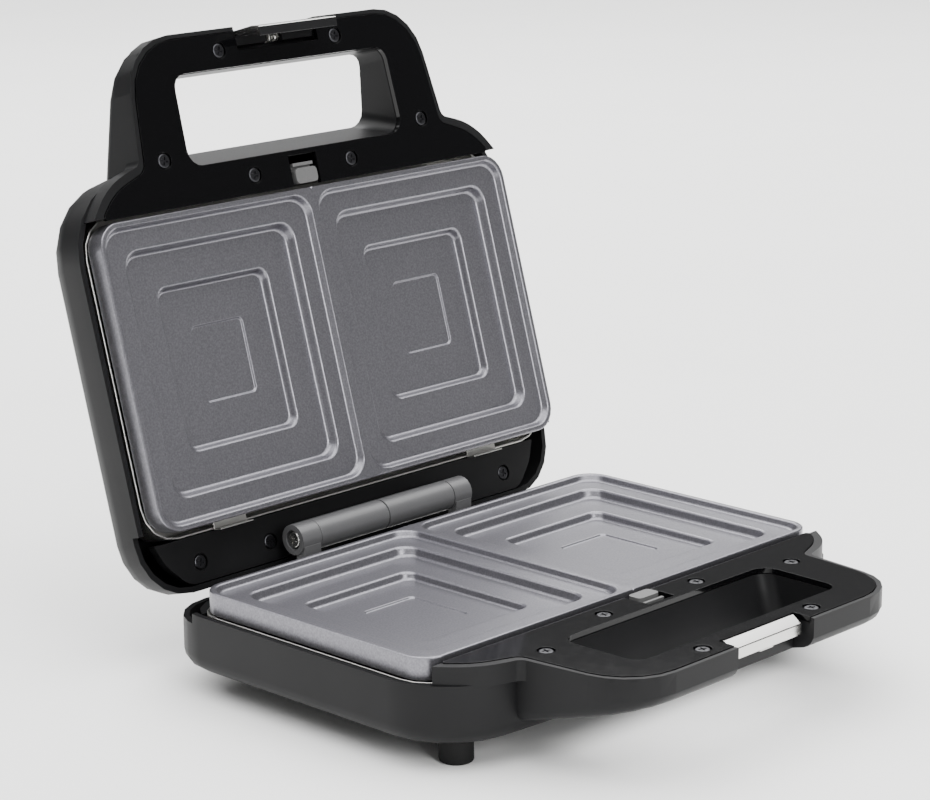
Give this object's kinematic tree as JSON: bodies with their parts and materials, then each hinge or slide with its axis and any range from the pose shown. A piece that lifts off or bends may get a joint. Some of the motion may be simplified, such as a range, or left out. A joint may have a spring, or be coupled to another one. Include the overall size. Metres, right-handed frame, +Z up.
{
  "type": "sandwich and waffle maker",
  "caption": "Open two-slice sandwich and waffle maker with deep stepped plates that lift out, hollow handles, a hinge along the back and a sprung front latch.",
  "frame": {"origin": "centre of the bounding box in X and Y, on the table under the feet, with the lid open", "axes": "+X along the hinge, to the right seen from the handle side; -Y towards the handles; +Z up"},
  "size_m": [0.247, 0.2909, 0.2556],
  "materials": {
    "housing_plastic": "satin, fine moulded texture",
    "gloss_cover": "gloss black",
    "grill_coating": "dark grey non-stick coating",
    "bright_steel": "bright",
    "latch_metal": "brushed bright",
    "button_plastic": "matt",
    "foot_rubber": "matt",
    "screw_steel": "blackened",
    "heater_sheath": "heat-dulled",
    "ceramic": "matt off-white",
    "lens": "clear gloss"
  },
  "bodies": {
    "base": {"base_cover_screw_1": "screw_steel", "base_cover_screw_2": "screw_steel", "base_cover_screw_3": "screw_steel", "base_cover_screw_4": "screw_steel", "base_cover_screw_5": "screw_steel", "base_cover_screw_6": "screw_steel", "base_front_cover": "gloss_cover", "base_heating_element": "heater_sheath", "base_hinge_knuckle_left": "housing_plastic", "base_hinge_knuckle_right": "housing_plastic", "base_plate_clip_left": "bright_steel", "base_plate_clip_right": "bright_steel", "base_rear_strip": "housing_plastic", "base_reflector_pan": "bright_steel", "base_shell": "housing_plastic", "base_strip_screw_1": "screw_steel", "base_strip_screw_2": "screw_steel", "cord_gland": "foot_rubber", "foot_front_left": "foot_rubber", "foot_front_right": "foot_rubber", "foot_rear_left": "foot_rubber", "foot_rear_right": "foot_rubber", "hinge_pin": "bright_steel", "hinge_screw_left": "latch_metal", "hinge_screw_right": "latch_metal", "latch_catch": "latch_metal", "terminal_block": "ceramic", "thermal_fuse": "bright_steel", "thermostat": "ceramic"},
    "lid": {"latch_pin": "bright_steel", "latch_spring": "bright_steel", "lid_cover_screw_1": "screw_steel", "lid_cover_screw_2": "screw_steel", "lid_cover_screw_3": "screw_steel", "lid_cover_screw_4": "screw_steel", "lid_cover_screw_5": "screw_steel", "lid_cover_screw_6": "screw_steel", "lid_front_cover": "gloss_cover", "lid_heating_element": "heater_sheath", "lid_hinge_bracket": "housing_plastic", "lid_plate_clip_left": "bright_steel", "lid_plate_clip_right": "bright_steel", "lid_rear_strip": "housing_plastic", "lid_reflector_pan": "bright_steel", "lid_shell": "housing_plastic", "lid_strip_screw_1": "screw_steel", "lid_strip_screw_2": "screw_steel", "lid_strip_screw_3": "screw_steel", "power_indicator_lens": "lens", "ready_indicator_lens": "lens"},
    "latch": {"latch_lever": "latch_metal"},
    "lid_plate": {"lid_grill_plate": "grill_coating"},
    "base_plate": {"base_grill_plate": "grill_coating"},
    "lid_release": {"lid_plate_release": "button_plastic"},
    "base_release": {"base_plate_release": "button_plastic"}
  },
  "joints": [
    {"name": "lid_hinge", "type": "hinge", "parent": "base", "child": "lid", "pos_m": [0, 0.0713, 0.0462], "axis": [-1, 0, 0], "range_deg": [-106, 0]},
    {"name": "latch_pivot", "type": "hinge", "parent": "lid", "child": "latch", "pos_m": [0, 0.13472, 0.24741], "axis": [-1, 0, 0], "range_deg": [0, 20], "stiffness_Nm_per_rad": 0.2, "springref_deg": -11.46},
    {"name": "lid_plate_lift", "type": "slide", "parent": "lid", "child": "lid_plate", "axis": [0, -0.9613, 0.2756], "range_m": [0, 0.02]},
    {"name": "base_plate_lift", "type": "slide", "parent": "base", "child": "base_plate", "axis": [0, 0, 1], "range_m": [0, 0.02]},
    {"name": "lid_release_slide", "type": "slide", "parent": "lid", "child": "lid_release", "axis": [0, 0.2756, 0.9613], "range_m": [0, 0.0028], "stiffness_N_per_m": 150, "springref_m": -0.004},
    {"name": "base_release_slide", "type": "slide", "parent": "base", "child": "base_release", "axis": [0, -1, 0], "range_m": [0, 0.0028], "stiffness_N_per_m": 150, "springref_m": -0.004}
  ]
}
